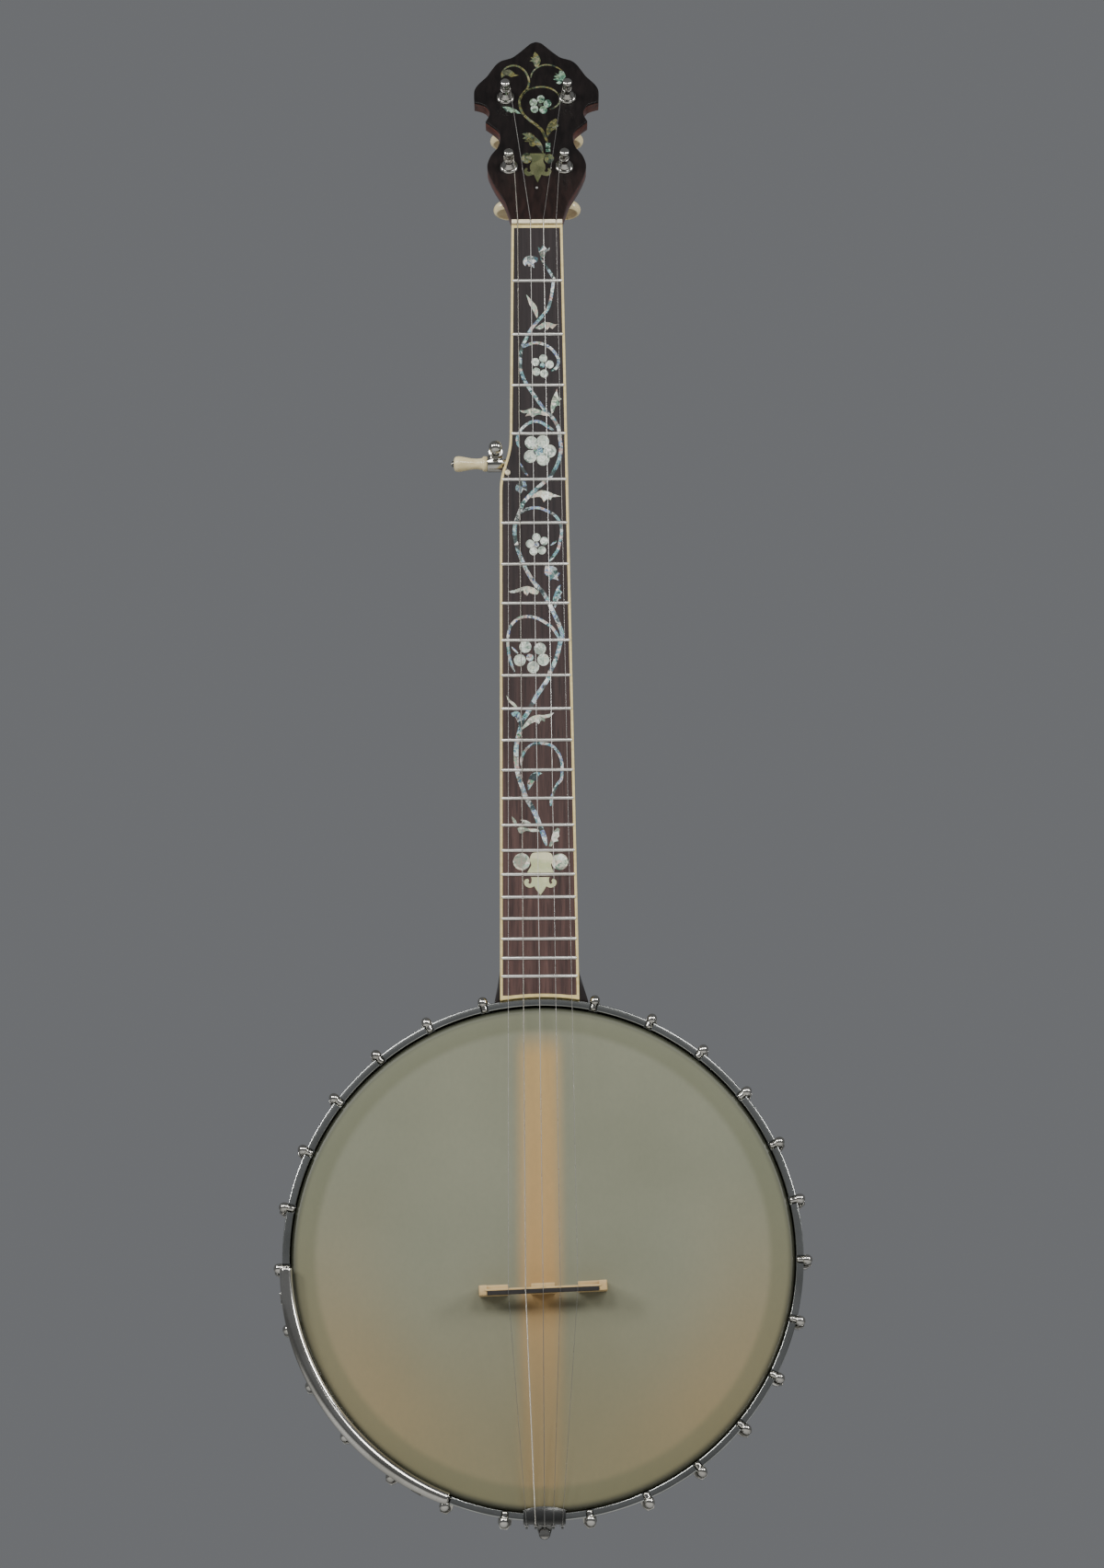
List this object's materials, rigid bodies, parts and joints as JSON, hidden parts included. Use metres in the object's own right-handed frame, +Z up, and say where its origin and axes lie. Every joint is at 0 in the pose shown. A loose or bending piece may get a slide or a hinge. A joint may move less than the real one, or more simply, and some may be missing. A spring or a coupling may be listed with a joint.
{
  "type": "open-back banjo",
  "caption": "Open-back banjo with a skin head held by a hooked metal hoop, a long fretted neck, geared tuning pegs and a short fifth string.",
  "frame": {"origin": "on the fingerboard's face at the front edge of the nut, where a neck cradle would hold the neck", "axes": "+Z up the neck towards the headstock, the front faces -Y, +X to the right seen from the front, so the fifth string is on the -X side"},
  "size_m": [0.3231, 0.1151, 0.9549],
  "materials": {
    "nickel": "polished nickel plate",
    "tone_ring_brass": "satin",
    "string_steel": "drawn wire",
    "wound_string": "wound wire",
    "neck_mahogany": "dark lacquer",
    "maple": "satin lacquer",
    "bridge_maple": "bare",
    "ebony": "oiled",
    "black_veneer": "gloss lacquer",
    "head_skin": "translucent skin",
    "bone": "polished bone",
    "cream_plastic": "gloss"
  },
  "bodies": {
    "banjo": {"rim": "maple", "dowel_stick": "maple", "tone_ring": "tone_ring_brass", "head": "head_skin", "tension_hoop": "nickel", "bracket_band": "nickel", "tailpiece": "nickel", "tailpiece_bolt": "nickel", "armrest": "nickel", "hook_01": "nickel", "hook_02": "nickel", "hook_03": "nickel", "hook_04": "nickel", "hook_05": "nickel", "hook_06": "nickel", "hook_07": "nickel", "hook_08": "nickel", "hook_09": "nickel", "hook_10": "nickel", "hook_11": "nickel", "hook_12": "nickel", "hook_13": "nickel", "hook_14": "nickel", "hook_15": "nickel", "hook_16": "nickel", "hook_17": "nickel", "hook_18": "nickel", "hook_19": "nickel", "hook_20": "nickel", "hook_21": "nickel", "hook_22": "nickel", "hook_23": "nickel", "hook_24": "nickel", "hook_25": "nickel", "hook_26": "nickel", "neck": "neck_mahogany", "fretboard": "ebony", "headstock_veneer": "black_veneer", "nut": "bone", "bridge": "bridge_maple", "peg_1_housing": "nickel", "peg_2_housing": "nickel", "peg_3_housing": "nickel", "peg_4_housing": "nickel", "fifth_peg_housing": "nickel", "string_1": "string_steel", "string_2": "string_steel", "string_3": "string_steel", "string_5": "string_steel", "string_4": "wound_string"},
    "peg_1_button_body": {"peg_1_button": "cream_plastic"},
    "peg_1_post_body": {"peg_1_post": "nickel"},
    "peg_2_button_body": {"peg_2_button": "cream_plastic"},
    "peg_2_post_body": {"peg_2_post": "nickel"},
    "peg_3_button_body": {"peg_3_button": "cream_plastic"},
    "peg_3_post_body": {"peg_3_post": "nickel"},
    "peg_4_button_body": {"peg_4_button": "cream_plastic"},
    "peg_4_post_body": {"peg_4_post": "nickel"},
    "fifth_peg_button_body": {"fifth_peg_button": "cream_plastic"},
    "fifth_peg_post_body": {"fifth_peg_post": "nickel"}
  },
  "joints": [
    {"name": "peg_1_turn", "type": "hinge", "parent": "banjo", "child": "peg_1_button_body", "pos_m": [0.0176, 0.01453, 0.0432], "axis": [0, -0.9548, 0.2974], "continuous": true},
    {"name": "peg_1_post_turn", "type": "hinge", "parent": "banjo", "child": "peg_1_post_body", "pos_m": [0.0176, 0.01453, 0.0432], "axis": [0, -0.9548, 0.2974], "continuous": true},
    {"name": "peg_2_turn", "type": "hinge", "parent": "banjo", "child": "peg_2_button_body", "pos_m": [0.0198, 0.03092, 0.09581], "axis": [0, -0.9548, 0.2974], "continuous": true},
    {"name": "peg_2_post_turn", "type": "hinge", "parent": "banjo", "child": "peg_2_post_body", "pos_m": [0.0198, 0.03092, 0.09581], "axis": [0, -0.9548, 0.2974], "continuous": true},
    {"name": "peg_3_turn", "type": "hinge", "parent": "banjo", "child": "peg_3_button_body", "pos_m": [-0.0198, 0.03092, 0.09581], "axis": [0, -0.9548, 0.2974], "continuous": true},
    {"name": "peg_3_post_turn", "type": "hinge", "parent": "banjo", "child": "peg_3_post_body", "pos_m": [-0.0198, 0.03092, 0.09581], "axis": [0, -0.9548, 0.2974], "continuous": true},
    {"name": "peg_4_turn", "type": "hinge", "parent": "banjo", "child": "peg_4_button_body", "pos_m": [-0.0176, 0.01453, 0.0432], "axis": [0, -0.9548, 0.2974], "continuous": true},
    {"name": "peg_4_post_turn", "type": "hinge", "parent": "banjo", "child": "peg_4_post_body", "pos_m": [-0.0176, 0.01453, 0.0432], "axis": [0, -0.9548, 0.2974], "continuous": true},
    {"name": "fifth_peg_turn", "type": "hinge", "parent": "banjo", "child": "fifth_peg_button_body", "pos_m": [-0.0317, 0.00405, -0.15496], "axis": [-1, 0, 0], "continuous": true},
    {"name": "fifth_peg_post_turn", "type": "hinge", "parent": "banjo", "child": "fifth_peg_post_body", "pos_m": [-0.0266, -0.00303, -0.14919], "axis": [0, -0.9993, 0.0384], "continuous": true}
  ],
  "couplings": [
    {"joint": "peg_1_post_turn", "follows": "peg_1_turn", "ratio": 0.25},
    {"joint": "peg_2_post_turn", "follows": "peg_2_turn", "ratio": 0.25},
    {"joint": "peg_3_post_turn", "follows": "peg_3_turn", "ratio": 0.25},
    {"joint": "peg_4_post_turn", "follows": "peg_4_turn", "ratio": 0.25},
    {"joint": "fifth_peg_post_turn", "follows": "fifth_peg_turn", "ratio": 0.083333}
  ]
}
